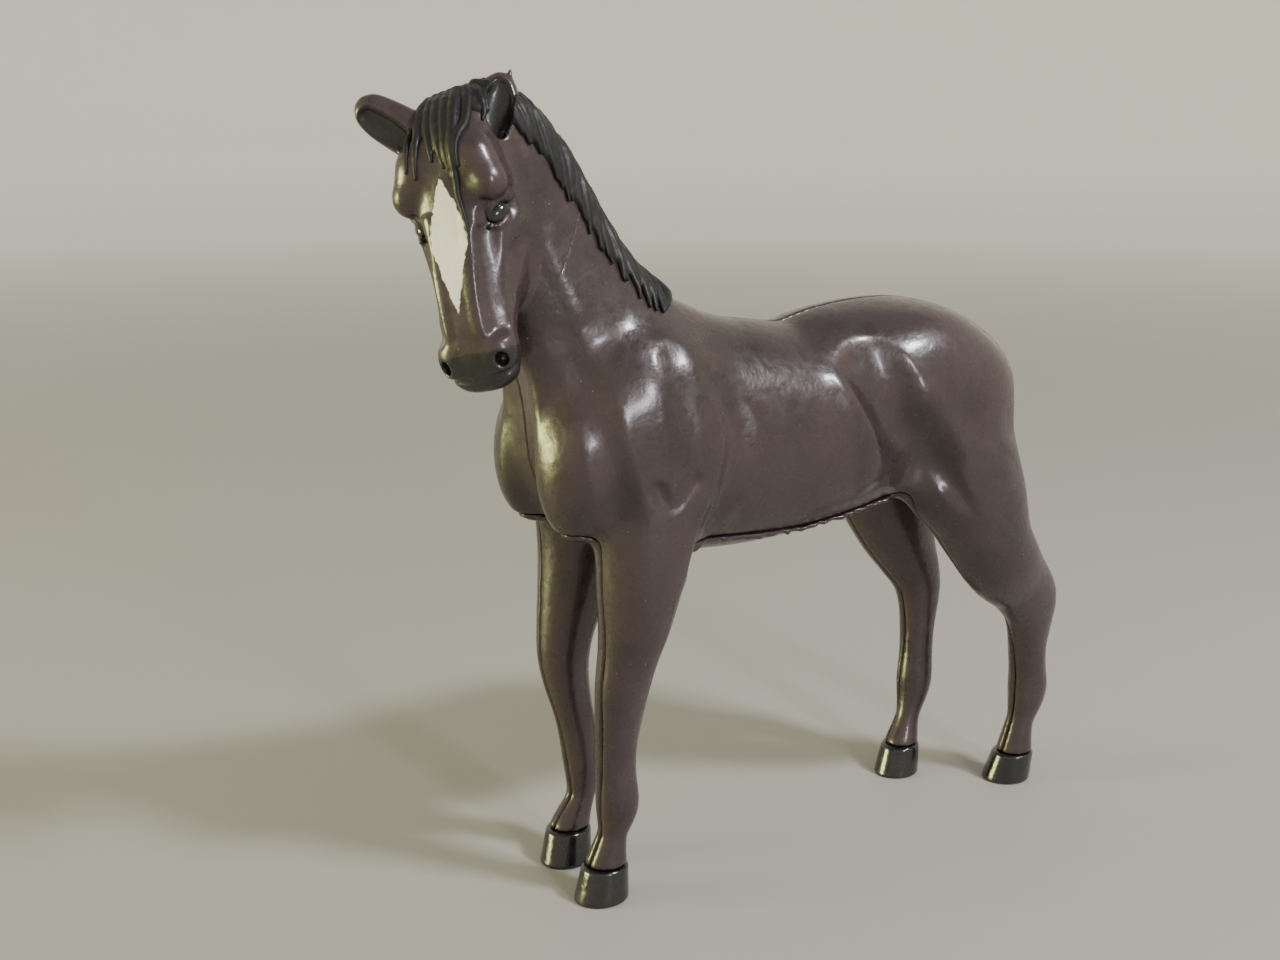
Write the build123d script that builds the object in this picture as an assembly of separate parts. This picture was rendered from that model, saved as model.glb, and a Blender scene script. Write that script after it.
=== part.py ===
from build123d import *
import os
from math import cos, pi, radians, sin

# Toy horse figurine, standing, head turned to its left. Millimetres, +Z up, nose towards -Y,
# +X is the horse's left. The ground plane is Z = 0.

# Driving dimensions
WALL = 2.5               # shell thickness of the hollow trunk
HOOF_HEIGHT = 7.0        # coronet above the ground
CREST_SHIFT = 1.2        # the mane lies a little to the left of the crest
HEAD_YAW = 38.0          # turn of the head to its left, degrees
HEAD_ROLL = 12.5         # lean of the top of the head to its right, degrees
EYE_RADIUS = 1.9
SEAM_HALF_GROUND = 8.2   # half width of the underbelly moulding at the ground
SEAM_SLOPE = 0.063       # how much its half width grows per millimetre of height
BOSS_RADIUS = 3.0
PIN_RADIUS = 1.5
PIN_REACH = 4.0          # length of a locating pin past the centre plane
PIN_CLEARANCE = 0.1
PLUG_RADIUS = 4.0        # neck plug of the head
PLUG_LENGTH = 9.0
SECTION_POINTS = 12
FAR = 120.0              # larger than the whole figurine

# Stations: (centre x, y, z), half width, half depth
TRUNK = [
    ((0, -58, 83), 8.5, 6.5), ((0, -54.5, 83.5), 15, 13), ((0, -46, 85), 18.5, 20),
    ((0, -32, 86), 19.5, 22.5), ((0, -15, 84.5), 19.5, 22), ((0, 0, 84), 19.5, 21.5),
    ((0, 15, 85.5), 19.5, 21), ((0, 30, 88), 19.5, 20.5), ((0, 42, 88), 18.5, 18),
    ((0, 51, 87), 14.5, 13), ((0, 55.5, 86), 8, 6.5),
]
NECK = [
    ((0, -35.4, 93.6), 15, 22), ((0, -43.4, 106.4), 11.5, 17), ((0, -48.5, 118.8), 9.5, 13.5),
    ((0, -52, 129.6), 8.3, 11), ((0, -56.5, 139), 7.3, 8.8),
]
LEFT_FORELEG = [
    ((11, -33, 80), 6, 12), ((11.8, -36, 65), 7.6, 10), ((11, -37.4, 54), 6.5, 8),
    ((10, -39.5, 42), 5.1, 5.8), ((9.5, -40.1, 35), 4.4, 4.9), ((9, -40.2, 26), 3.9, 4.3),
    ((9, -39.9, 18.5), 4.2, 4.6), ((8.8, -40.9, 12.5), 2.9, 3.3), ((8.5, -42.2, HOOF_HEIGHT), 4.2, 4.6),
]
RIGHT_FORELEG = [
    ((-11, -33, 80), 6, 12), ((-11.8, -35.2, 65), 7.6, 10), ((-11.5, -37.8, 54), 6.5, 8),
    ((-11, -40.3, 42), 5.1, 5.8), ((-10.6, -39.8, 35), 4.4, 4.9), ((-10.2, -38.3, 27), 3.9, 4.3),
    ((-10, -37, 19.6), 4.1, 4.5), ((-9.5, -38, 12), 2.9, 3.3), ((-9, -40.6, HOOF_HEIGHT), 4.2, 4.6),
]
LEFT_HINDLEG = [
    ((9, 36, 88), 7.5, 11), ((11, 39.5, 75), 8.2, 13), ((12.5, 43, 64), 8.6, 12.3),
    ((13, 50.3, 52.5), 7, 8.7), ((12.3, 57.5, 44.5), 5.2, 7.2), ((11, 61, 37), 4.4, 5.6),
    ((10, 62, 30), 4, 4.6), ((9, 63.6, 20.7), 4.2, 4.6), ((9, 62.2, 13.5), 2.9, 3.2),
    ((8.5, 61.4, HOOF_HEIGHT), 4.2, 4.5),
]
RIGHT_HINDLEG = [
    ((-9, 34, 88), 7.5, 11), ((-11, 37.5, 75), 8.2, 12.6), ((-12, 40, 62), 8.4, 11.3),
    ((-12, 44.5, 50), 6.2, 7.4), ((-11.3, 48.6, 41.5), 4.9, 5.9), ((-10.5, 48.4, 32.6), 4, 4.5),
    ((-9.6, 47.8, 26), 3.8, 4.2), ((-9, 47, 20.1), 4, 4.4), ((-8, 44.8, 12.8), 2.8, 3.1),
    ((-7.6, 42.8, HOOF_HEIGHT), 4, 4.4),
]
# Hooves: coronet centre, coronet half sizes, sole centre, sole half sizes
HOOVES = {
    "left_fore_hoof": ((8.5, -42.2), (4.3, 4.8), (8.6, -43.8), (5, 5.6)),
    "right_fore_hoof": ((-9, -40.6), (4.3, 4.8), (-8, -42.2), (5, 5.6)),
    "left_hind_hoof": ((8.5, 61.4), (4.3, 4.7), (7.8, 60), (5, 5.4)),
    "right_hind_hoof": ((-7.6, 42.8), (4.1, 4.6), (-7.1, 41.2), (4.8, 5.2)),
}
# Head stations in the head's own directions: (forward, up, half width, half depth)
HEAD_TOP = (-1.5, -64.0, 140.0)
HEAD = [
    (-2.5, 6.2, 4.8, 5.0), (-2.0, 2.0, 7.6, 8.4), (-0.6, -4.0, 9.2, 10.2), (-0.3, -10, 9.8, 11.0),
    (0.4, -15.5, 9.0, 10.8), (3.6, -21, 7.4, 8.4), (6.4, -26.5, 6.3, 6.6), (7.9, -32, 6.1, 5.5),
    (8.5, -37, 6.7, 5.5), (8.3, -40.8, 4.8, 4.2),
]
LEFT_EAR = [((2.4, -61.2, 139), 4.0, 3.0), ((4.6, -61.0, 143.0), 3.8, 2.5), ((7.4, -61.5, 147.0), 2.5, 1.7),
            ((8.8, -61.9, 149.0), 0.8, 0.6)]
RIGHT_EAR = [((-5.2, -66.6, 139.5), 4.0, 3.0), ((-6.6, -70.2, 142.3), 3.8, 2.5),
             ((-8.2, -74.2, 144.8), 2.6, 1.8), ((-8.9, -76.0, 146.0), 0.9, 0.7)]
MANE = [((CREST_SHIFT, -59, 146.3), 3.0, 2.5), ((CREST_SHIFT, -53.6, 144.0), 3.9, 4.6),
        ((CREST_SHIFT, -46, 134.5), 4.2, 5.4), ((CREST_SHIFT, -38.6, 122.5), 3.9, 4.6),
        ((CREST_SHIFT, -32, 114.6), 3.0, 3.2), ((CREST_SHIFT, -26.5, 110.0), 1.4, 1.6)]
# Forelock stations down the forehead: (forward, up, half width, half depth)
FORELOCK = [(2.0, 6.4, 3.4, 2.2), (5.4, 2.4, 4.4, 2.4), (8.4, -2.5, 4.0, 2.0), (9.9, -7.5, 1.8, 1.1)]
TAIL = [((0, 50, 99.5), 3.2, 3), ((0, 55.2, 93), 3.6, 3.4), ((0, 57.2, 82), 3.9, 3.2),
        ((0, 56.8, 68), 3.4, 2.8), ((0, 56.4, 55), 1.4, 1.3)]
# Top edge of the underbelly moulding seen from the side: (y, z)
SEAM_TOP = [(-75, 72), (-48, 72), (-30, 68.5), (0, 67), (15, 69), (30, 72), (45, 77), (80, 77)]
# Locating bosses across the centre plane: (y, z, half width of the trunk there)
BOSSES = [(-36, 87, 19.3), (0, 86, 19.5), (33, 88, 19.3)]
# Eyes in the head's directions: (side, forward, up)
EYES = {"left_eye": (7.9, 6.0, -12.8), "right_eye": (-7.9, 6.0, -12.8)}

YAW = radians(HEAD_YAW)
ROLL = radians(HEAD_ROLL)
FORWARD = Vector(sin(YAW), -cos(YAW), 0)
LEVEL_LEFT = Vector(cos(YAW), sin(YAW), 0)
LEFT = LEVEL_LEFT * cos(ROLL) + Vector(0, 0, sin(ROLL))
UP = Vector(0, 0, cos(ROLL)) - LEVEL_LEFT * sin(ROLL)
SIDEWAYS = Vector(1, 0, 0)


def head_point(forward, up, side=0.0):
    """A point given in the head's own directions."""
    return Vector(*HEAD_TOP) + FORWARD * forward + UP * up + LEFT * side


def section(centre, along, across, half_width, half_depth):
    """A closed oval face square to a path."""
    along = along.normalized()
    across = (across - along * across.dot(along)).normalized()
    depth = along.cross(across)
    points = []
    for step in range(SECTION_POINTS):
        angle = 2 * pi * step / SECTION_POINTS
        points.append(centre + across * (half_width * cos(angle)) + depth * (half_depth * sin(angle)))
    return make_face(Spline(*points, periodic=True))


def limb(stations, across=SIDEWAYS, level_end=False):
    """A solid through oval sections along a path of stations."""
    centres = [Vector(*station[0]) for station in stations]
    last = len(stations) - 1
    faces = []
    for index, (_, half_width, half_depth) in enumerate(stations):
        along = centres[min(index + 1, last)] - centres[max(index - 1, 0)]
        if level_end and index == last:
            along = Vector(0, 0, -1)
        faces.append(section(centres[index], along, across, half_width, half_depth))
    return loft(faces)


def head_limb(stations):
    """A solid through stations given in the head's own directions."""
    placed = [(tuple(head_point(forward, up)), width, depth) for forward, up, width, depth in stations]
    return limb(placed, across=LEFT)


def make_body():
    """Trunk, neck and legs as one outer form, before it is divided into mouldings."""
    trunk = loft([section(Vector(*c), Vector(0, 1, 0), SIDEWAYS, w, d) for c, w, d in TRUNK])
    body = trunk + limb(NECK)
    for leg in (LEFT_FORELEG, RIGHT_FORELEG, LEFT_HINDLEG, RIGHT_HINDLEG):
        body = body + limb(leg, level_end=True)
    return body


def make_cavity():
    """The hollow inside the trunk."""
    faces = []
    for centre, half_width, half_depth in TRUNK[2:-2]:
        faces.append(section(Vector(*centre), Vector(0, 1, 0), SIDEWAYS, half_width - WALL, half_depth - WALL))
    return loft(faces)


def bosses(sign):
    """Solid columns from one side wall to the centre plane."""
    columns = []
    for y, z, half_width in BOSSES:
        start = Plane(origin=(0, y, z), z_dir=(sign, 0, 0))
        columns.append(extrude(start * Circle(BOSS_RADIUS), half_width - WALL / 2))
    return columns


def pins(radius, reach):
    """Locating pins that cross the centre plane from the left half into the right."""
    rods = []
    for y, z, _ in BOSSES:
        start = Plane(origin=(PIN_REACH, y, z), z_dir=(-1, 0, 0))
        rods.append(extrude(start * Circle(radius), PIN_REACH + reach))
    return rods


def seam_prism():
    """Everything that belongs to the underbelly moulding, leg insides included."""
    height = max(z for _, z in SEAM_TOP)
    foot = SEAM_HALF_GROUND
    top = foot + SEAM_SLOPE * height
    outline = Polyline((-foot, 0), (foot, 0), (top, height), (-top, height), close=True)
    wedge = extrude(Plane.XZ * make_face(outline), FAR, both=True)
    first, last = SEAM_TOP[0][0], SEAM_TOP[-1][0]
    side = Polyline((first, -1), *SEAM_TOP, (last, -1), close=True)
    return wedge & extrude(Plane.YZ * make_face(side), FAR, both=True)


def half_space(sign):
    """A block that fills one side of the centre plane."""
    return Pos(sign * FAR / 2, 0, FAR / 2) * Box(FAR, 2 * FAR, 2 * FAR)


def make_hoof(coronet, coronet_half, sole, sole_half):
    """A hoof with a flat sole and a flat top face under the pastern."""
    down = Vector(0, 0, -1)
    top_face = section(Vector(*coronet, HOOF_HEIGHT), down, SIDEWAYS, *coronet_half)
    sole_face = section(Vector(*sole, 0), down, SIDEWAYS, *sole_half)
    return loft([top_face, sole_face], ruled=True)


def make_plug(extra=0.0):
    """Round plug of the head, along the top of the neck."""
    upper, lower = Vector(*NECK[-1][0]), Vector(*NECK[-2][0])
    plane = Plane(origin=upper, z_dir=lower - upper)
    return extrude(plane * Circle(PLUG_RADIUS + extra), PLUG_LENGTH + extra)


def largest(shape):
    """The main solid of a cut shape."""
    return max(shape.solids(), key=lambda solid: solid.volume)


def make_parts():
    """All sub-parts by name."""
    parts = {name: make_hoof(*sizes) for name, sizes in HOOVES.items()}
    parts["mane"] = limb(MANE)
    parts["forelock"] = head_limb(FORELOCK) - parts["mane"]
    parts["tail"] = limb(TAIL)
    for name, (side, forward, up) in EYES.items():
        parts[name] = Pos(*head_point(forward, up, side)) * Sphere(EYE_RADIUS)
    head = head_limb(HEAD) + limb(LEFT_EAR) + limb(RIGHT_EAR)
    body = make_body() - make_cavity()
    prism = seam_prism()
    parts["underbelly_insert"] = body & prism
    uppers = body - prism - head - make_plug(PIN_CLEARANCE) - parts["mane"] - parts["tail"] - parts["forelock"]
    sockets = pins(PIN_RADIUS + PIN_CLEARANCE, PIN_REACH + PIN_CLEARANCE)
    left = (uppers & half_space(1)) + bosses(1) + pins(PIN_RADIUS, PIN_REACH)
    right = (uppers & half_space(-1)) + bosses(-1) - sockets
    parts["left_shell"] = left
    parts["right_shell"] = right
    head = head + make_plug() - parts["mane"] - parts["forelock"] - parts["left_eye"] - parts["right_eye"]
    parts["head"] = head
    return parts


def main():
    parts = {name: largest(shape) for name, shape in make_parts().items()}
    box = Compound(list(parts.values())).bounding_box()
    shift = Pos(-box.center().X, -box.center().Y, -box.min.Z)
    os.makedirs("parts", exist_ok=True)
    for name, solid in parts.items():
        export_step(shift * solid, f"parts/{name}.step")
        print(name, solid.is_valid, round(solid.volume))
    print("shift", shift.position, "size", box.size)


main()
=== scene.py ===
import math

import bpy
import numpy as np
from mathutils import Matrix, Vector


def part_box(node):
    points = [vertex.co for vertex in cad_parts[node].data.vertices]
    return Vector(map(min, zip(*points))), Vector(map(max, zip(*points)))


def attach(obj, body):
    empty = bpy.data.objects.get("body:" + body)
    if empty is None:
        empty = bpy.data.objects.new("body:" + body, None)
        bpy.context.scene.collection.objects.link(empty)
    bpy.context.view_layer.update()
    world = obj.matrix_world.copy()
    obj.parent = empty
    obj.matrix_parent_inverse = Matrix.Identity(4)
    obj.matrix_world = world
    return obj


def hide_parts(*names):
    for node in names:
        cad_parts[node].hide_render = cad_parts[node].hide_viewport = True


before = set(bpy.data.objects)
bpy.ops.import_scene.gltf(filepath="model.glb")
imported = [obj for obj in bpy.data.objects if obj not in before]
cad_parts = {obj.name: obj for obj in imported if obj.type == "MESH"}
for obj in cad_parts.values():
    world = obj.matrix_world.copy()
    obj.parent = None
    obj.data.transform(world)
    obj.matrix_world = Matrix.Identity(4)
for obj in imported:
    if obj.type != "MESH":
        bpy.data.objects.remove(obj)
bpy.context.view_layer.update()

# The sculpt is written in millimetres: nose towards -Y, +X the horse's left, ground at Z = 0,
# centre plane of the trunk at X = 0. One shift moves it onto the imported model.
MM = 0.001
BODY_STEP = 0.47  # spacing of the sculpting grid on the trunk and legs
FINE_STEP = 0.27  # on the head, mane and hooves
BODY_BLUR = 0.9  # smoothing of the trunk, neck and legs
FAR = 4.8  # a field's value where there is nothing, and a shape's reach
LIMB_REACH = 9.0  # beyond this a limb's distance is not worked out
SEAM_GAP = 0.34  # open line between two mouldings
NECK_LAP = 0.25  # head and neck run this far into each other, so no joint line shows
SEAM_DEPTH = 1.3  # below this the mouldings touch
SEAM_ROUND = 0.55  # rounding of a moulding's edge
HOOF_TOP = 6.6
SOLE = 0.0

# Head directions: turned to its left and leaning to its right
HEAD_YAW = math.radians(38.0)
HEAD_ROLL = math.radians(12.5)
HEAD_TOP = np.array([-1.5, -64.0, 140.0])
LEVEL_LEFT = np.array([math.cos(HEAD_YAW), math.sin(HEAD_YAW), 0.0])
HEAD_FORWARD = np.array([math.sin(HEAD_YAW), -math.cos(HEAD_YAW), 0.0])
HEAD_LEFT = LEVEL_LEFT * math.cos(HEAD_ROLL) + np.array([0.0, 0.0, math.sin(HEAD_ROLL)])
HEAD_UP = np.array([0.0, 0.0, math.cos(HEAD_ROLL)]) - LEVEL_LEFT * math.sin(HEAD_ROLL)
HEAD_AXES = np.array([HEAD_LEFT, HEAD_FORWARD, HEAD_UP])
WORLD_AXES = np.eye(3)
ACROSS = np.array([1.0, 0.0, 0.0])


def head_point(side, forward, up):
    """A point given in the head's own directions."""
    return HEAD_TOP + HEAD_LEFT * side + HEAD_FORWARD * forward + HEAD_UP * up


def unit(vector):
    return vector / np.linalg.norm(vector)


# ---- distance shapes

LEAST_SLOPE = 1e-6  # these two keep the divisions clear of zero
LEAST_SHARE = 1e-3


def smooth_min(a, b, blend):
    """Union of two fields with a fillet."""
    if blend <= 0:
        return np.minimum(a, b)
    h = np.maximum(blend - np.abs(a - b), 0) / blend
    return np.minimum(a, b) - h * h * blend * 0.25


def smooth_max(a, b, blend):
    """Intersection of two fields with a rounded edge."""
    return -smooth_min(-a, -b, blend)


class Blob:
    """An ellipsoid. The rows of axes are its three directions."""

    def __init__(self, centre, radii, axes=WORLD_AXES):
        self.centre = np.array(centre, float)
        self.radii = np.array(radii, float)
        self.axes = np.array(axes, float)
        half = np.sqrt(((self.axes * self.radii[:, None]) ** 2).sum(axis=0))
        self.low = self.centre - half
        self.high = self.centre + half

    def distance(self, x, y, z):
        """Distance from the surface, negative inside."""
        near = 0.0
        slope = 0.0
        for axis, radius in zip(self.axes, self.radii):
            along = axis[0] * x + axis[1] * y + axis[2] * z - axis @ self.centre
            near = near + (along / radius) ** 2
            slope = slope + (along / radius ** 2) ** 2
        near = np.sqrt(near)
        return near * (near - 1) / np.maximum(np.sqrt(slope), LEAST_SLOPE)


class Stretch:
    """A straight piece of a limb. Power 2 gives oval sections, more gives boxy ones."""

    def __init__(self, start, end, start_half, end_half, across, power=2.0):
        self.start = start
        self.length = np.linalg.norm(end - start)
        self.along = (end - start) / self.length
        self.across = unit(across - self.along * (across @ self.along))
        self.deep = np.cross(self.along, self.across)
        self.start_half = np.array(start_half, float)
        self.end_half = np.array(end_half, float)
        self.power = power
        reach = max(*start_half, *end_half) * 2 ** (0.5 - 1 / power)
        self.low = np.minimum(start, end) - reach
        self.high = np.maximum(start, end) + reach

    def local(self, axis, x, y, z):
        return axis[0] * x + axis[1] * y + axis[2] * z - axis @ self.start

    def distance(self, x, y, z):
        far = self.local(self.along, x, y, z)
        part = np.clip(far / self.length, 0, 1)
        width = self.start_half[0] + (self.end_half[0] - self.start_half[0]) * part
        depth = self.start_half[1] + (self.end_half[1] - self.start_half[1]) * part
        least = np.minimum(width, depth)
        radii = (width, depth, least)
        steps = (self.local(self.across, x, y, z), self.local(self.deep, x, y, z), far - part * self.length)
        shares = [np.abs(step) / radius for step, radius in zip(steps, radii)]
        near = sum(share ** self.power for share in shares) ** (1 / self.power)
        near = np.maximum(near, LEAST_SHARE)
        slopes = [(share / near) ** (self.power - 1) / radius for share, radius in zip(shares, radii)]
        return (near - 1) / np.sqrt(sum(slope ** 2 for slope in slopes))


def window(x, y, z, low, high):
    """Index ranges of the grid lines inside a box, or None if there are none."""
    ranges = []
    for line, bottom, top in zip((x.ravel(), y.ravel(), z.ravel()), low, high):
        first, last = np.searchsorted(line, (bottom, top))
        if last <= first:
            return None
        ranges.append(slice(first, last))
    return tuple(ranges)


def nearest_of(shapes, x, y, z, margin):
    """Smallest distance to any of several shapes, each worked out only near itself."""
    result = np.full((x.size, y.size, z.size), margin, np.float32)
    for shape in shapes:
        part = window(x, y, z, shape.low - margin, shape.high + margin)
        if part is None:
            continue
        near = shape.distance(x[part[0]], y[:, part[1]], z[:, :, part[2]])
        result[part] = np.minimum(result[part], near)
    return result


def curve_through(values, steps):
    """Catmull-Rom points through rows of values."""
    values = np.array(values, float)
    padded = np.vstack([2 * values[0] - values[1], values, 2 * values[-1] - values[-2]])
    rows = []
    for i in range(len(values) - 1):
        a, b, c, d = padded[i:i + 4]
        for step in range(steps):
            t = step / steps
            rows.append(0.5 * (2 * b + (c - a) * t + (2 * a - 5 * b + 4 * c - d) * t * t
                               + (3 * b - a - 3 * c + d) * t ** 3))
    rows.append(values[-1])
    return np.array(rows)


class Limb:
    """Oval sections along a smooth path. A station is (x, y, z, half width, half depth)."""

    def __init__(self, stations, across=ACROSS, steps=5, power=2.0):
        rows = curve_through(stations, steps)
        across = np.array(across)
        self.pieces = [Stretch(a[:3], b[:3], a[3:], b[3:], across, power) for a, b in zip(rows, rows[1:])]
        self.low = np.min([piece.low for piece in self.pieces], axis=0)
        self.high = np.max([piece.high for piece in self.pieces], axis=0)
        self.margin = LIMB_REACH

    def distance(self, x, y, z):
        return nearest_of(self.pieces, x, y, z, self.margin)


class Line:
    """A thin path through points, as a distance."""

    def __init__(self, points, steps=4):
        rows = curve_through(points, steps)
        self.points = rows
        self.low = rows.min(axis=0)
        self.high = rows.max(axis=0)

    def distance(self, x, y, z):
        best = None
        for a, b in zip(self.points, self.points[1:]):
            run = b - a
            part = ((x - a[0]) * run[0] + (y - a[1]) * run[1] + (z - a[2]) * run[2]) / (run @ run)
            part = np.clip(part, 0, 1)
            square = (x - a[0] - run[0] * part) ** 2 + (y - a[1] - run[1] * part) ** 2
            square = square + (z - a[2] - run[2] * part) ** 2
            best = square if best is None else np.minimum(best, square)
        return np.sqrt(best)


BLUR_REACH = 2.5  # how many spreads of a blur are added up


class Field:
    """Distances to the growing form, on a regular grid."""

    def __init__(self, low, high, step):
        lines = [np.arange(bottom, top + step, step, dtype=np.float32) for bottom, top in zip(low, high)]
        self.low = np.array([line[0] for line in lines], float)
        self.step = step
        self.x = lines[0][:, None, None]
        self.y = lines[1][None, :, None]
        self.z = lines[2][None, None, :]
        self.values = np.full([len(line) for line in lines], FAR, np.float32)

    def part(self, shape, margin):
        box = window(self.x, self.y, self.z, shape.low - margin, shape.high + margin)
        if box is None:
            return None, None
        return box, (self.x[box[0]], self.y[:, box[1]], self.z[:, :, box[2]])

    def add(self, shape, blend=0.0):
        """Joins a shape on, with a fillet."""
        box, places = self.part(shape, FAR + blend)
        if box is not None:
            self.values[box] = smooth_min(self.values[box], shape.distance(*places), blend)

    def cut(self, shape, blend=0.0):
        """Takes a shape away, with a rounded edge."""
        box, places = self.part(shape, FAR + blend)
        if box is not None:
            self.values[box] = smooth_max(self.values[box], -shape.distance(*places), blend)

    def press(self, shape, width, depth):
        """Pushes the surface in along a path, or out where depth is negative."""
        box, places = self.part(shape, width)
        if box is not None:
            fall = np.clip(1 - (shape.distance(*places) / width) ** 2, 0, None) ** 2
            self.values[box] = self.values[box] + depth * fall

    def soften(self, width):
        """Smooths out small ripples; width is the spread of the blur in millimetres."""
        reach = int(math.ceil(BLUR_REACH * width / self.step))
        weights = np.exp(-0.5 * (np.arange(-reach, reach + 1) * self.step / width) ** 2)
        weights = (weights / weights.sum()).astype(np.float32)
        for axis in range(3):
            padding = [(0, 0)] * 3
            padding[axis] = (reach, reach)
            padded = np.pad(self.values, padding, mode="edge")
            count = self.values.shape[axis]
            result = np.zeros_like(self.values)
            for index, weight in enumerate(weights):
                window_slice = [slice(None)] * 3
                window_slice[axis] = slice(index, index + count)
                result += weight * padded[tuple(window_slice)]
            self.values = result


# ---- the horse's form

# Stations of a limb: (x, y, z, half width, half depth)
TRUNK = [
    (0, -41, 88, 14, 16.5), (0, -36, 87, 16.4, 20), (0, -26, 86, 18.4, 22), (0, -12, 84.6, 19, 21.9),
    (0, 2, 84.2, 19.2, 20.8), (0, 14, 86.3, 18.6, 21.2), (0, 26, 88.4, 17.6, 19.9),
    (0, 36, 89, 16.4, 17.2), (0, 45, 88.5, 13.5, 12.8), (0, 50.5, 87, 8, 8),
]
NECK = [
    (0, -33, 92, 14.2, 21), (0, -43.6, 106.0, 11.0, 16.3), (0, -48.9, 118.5, 8.5, 12.7),
    (0, -52.8, 129.6, 7.1, 10.3), (0, -57, 138.6, 6.4, 8.0), (0, -60, 143, 5.2, 5.5),
]
LEFT_FORELEG = [
    (11.5, -33, 84, 6.5, 11), (12.3, -35, 73, 7.6, 10.5), (12, -36.8, 62.5, 7.4, 8.3),
    (11, -37.4, 54, 6.3, 6.9), (10.5, -38.4, 48.3, 5.4, 5.9), (10.1, -39.4, 42.5, 4.9, 5.3),
    (9.5, -40, 35.8, 4.3, 4.6), (9.1, -40.3, 30, 3.75, 4.1), (9, -40.3, 24.5, 3.65, 4.0),
    (9, -40, 19, 3.95, 4.3), (8.9, -40.3, 16, 3.5, 3.8), (8.8, -40.9, 12.9, 2.8, 2.95),
    (8.6, -41.6, 9.6, 3.3, 3.4), (8.4, -42.3, 5.5, 4.0, 4.3),
]
RIGHT_FORELEG = [
    (-11.5, -33, 84, 6.5, 11), (-12.3, -34.5, 73, 7.6, 10.5), (-12, -36, 62.5, 7.4, 8.6),
    (-11.6, -38, 54, 6.3, 7.1), (-11.3, -39.6, 48, 5.5, 6), (-11, -40.5, 42, 4.9, 5.3),
    (-10.7, -40, 36, 4.3, 4.6), (-10.4, -39, 31, 3.8, 4.1), (-10.2, -38, 26, 3.7, 4.0),
    (-10, -37, 20, 3.9, 4.2), (-9.8, -37.1, 16.5, 3.4, 3.7), (-9.5, -37.8, 12, 2.8, 2.95),
    (-9.3, -39.3, 9, 3.3, 3.4), (-9, -40.8, 5.5, 4.0, 4.3),
]
LEFT_HINDLEG = [
    (9.5, 37, 90, 8, 14), (11.3, 38.6, 78, 8.8, 12.5), (12.6, 42.3, 67, 8.4, 11.6),
    (13, 46.6, 57.8, 7.3, 9.5), (13, 50.6, 52.3, 6.6, 8.8), (12.5, 55.2, 47.9, 5.5, 7.6),
    (12, 59.5, 42.8, 4.8, 7), (11.2, 61, 37.5, 4.2, 5.6), (10, 62, 31.7, 3.9, 4.55),
    (9.4, 63, 26, 3.8, 4.3), (9, 63.8, 21, 4.0, 4.6), (9, 63.3, 17.5, 3.5, 4), (9, 62.3, 14, 2.9, 3.15),
    (8.8, 61.7, 10.5, 3.3, 3.4), (8.5, 61.3, 5.5, 3.9, 4.3),
]
RIGHT_HINDLEG = [
    (-9.5, 35, 90, 8, 14), (-11.3, 36.5, 78, 8.8, 13.6), (-12.3, 38.5, 67, 8.5, 12),
    (-12.2, 42, 57, 7.2, 9.6), (-12, 45, 50.5, 6, 7.6), (-11.5, 48.2, 44, 4.9, 5.9),
    (-11, 48.9, 39.6, 4.3, 5.2), (-10.7, 48.8, 36, 3.9, 4.6), (-10.4, 48.4, 31, 3.7, 4.0),
    (-9.7, 47.8, 26, 3.6, 3.9), (-9, 47, 20.5, 3.8, 4.15), (-8.7, 46.3, 17, 3.4, 3.6),
    (-8, 44.8, 13, 2.6, 2.8), (-7.8, 43.8, 9.5, 3.0, 3.2), (-7.5, 42.6, 5.5, 3.8, 4.1),
]
LEGS = (LEFT_FORELEG, RIGHT_FORELEG, LEFT_HINDLEG, RIGHT_HINDLEG)
# Paired muscles: (centre on the left side, radii, blend)
MUSCLES = [((11.2, -34, 92), (6.2, 9.5, 12), 8), ((13.0, -29, 82), (6.2, 9.6, 12.5), 5),
           ((11.4, -44.0, 87), (6.4, 8.0, 10.5), 4), ((8.4, -47.2, 82), (7.0, 7.6, 12), 3.5),
           ((9.2, 29, 93), (8.8, 15, 12), 6), ((9.6, 40.4, 82), (8, 8.2, 16), 5),
           ((12.2, 33, 72), (5.2, 8, 9), 6)]
# Paired surface lines on the left side: (points, width, depth). Negative depth stands out.
CREASES = [
    ([(18.5, -24.5, 100.3), (19.3, -20.5, 90.5), (19, -21.8, 80.9), (18, -24.5, 73.6),
      (15, -27.6, 65.9)], 4.5, 1.1),
    ([(15.5, -32.5, 102.3), (18.8, -32.3, 92.8), (19, -32.1, 86.1)], 4.2, 0.5),
    ([(18.5, -37.3, 80.4), (18.5, -34.7, 77), (19.3, -30.4, 81.5)], 2.4, 0.6),
    ([(12, -51.4, 106.9), (14.5, -47.9, 96.6), (16.5, -46.2, 88.2), (16.5, -42.8, 75.3)], 4.6, 1.0),
    ([(17, -36.8, 69.1), (14, -36.5, 59)], 3.0, 0.5),
    ([(18, 11, 98), (17.5, 15.2, 90), (17.5, 20, 83), (17.5, 25, 78)], 8.5, 2.8),
    ([(17.4, 1.5, 101), (18.6, 5.6, 92.5), (18.6, 9.2, 84), (17.5, 11.2, 76)], 4.4, -0.6),
    ([(17.5, 22.5, 90), (18, 31.1, 81.4), (17, 42.5, 72.3)], 5.5, -0.9),
    ([(17.5, 27.1, 77.8), (17.5, 32.1, 71.6), (17, 36.7, 66.8)], 3.2, 0.9),
    ([(13, 43.0, 87), (15, 44.5, 82)], 6.0, 0.8),
    ([(9, -53.0, 123.4), (9.4, -50.2, 118), (10.2, -47.5, 112)], 3.6, -0.3),
]

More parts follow.
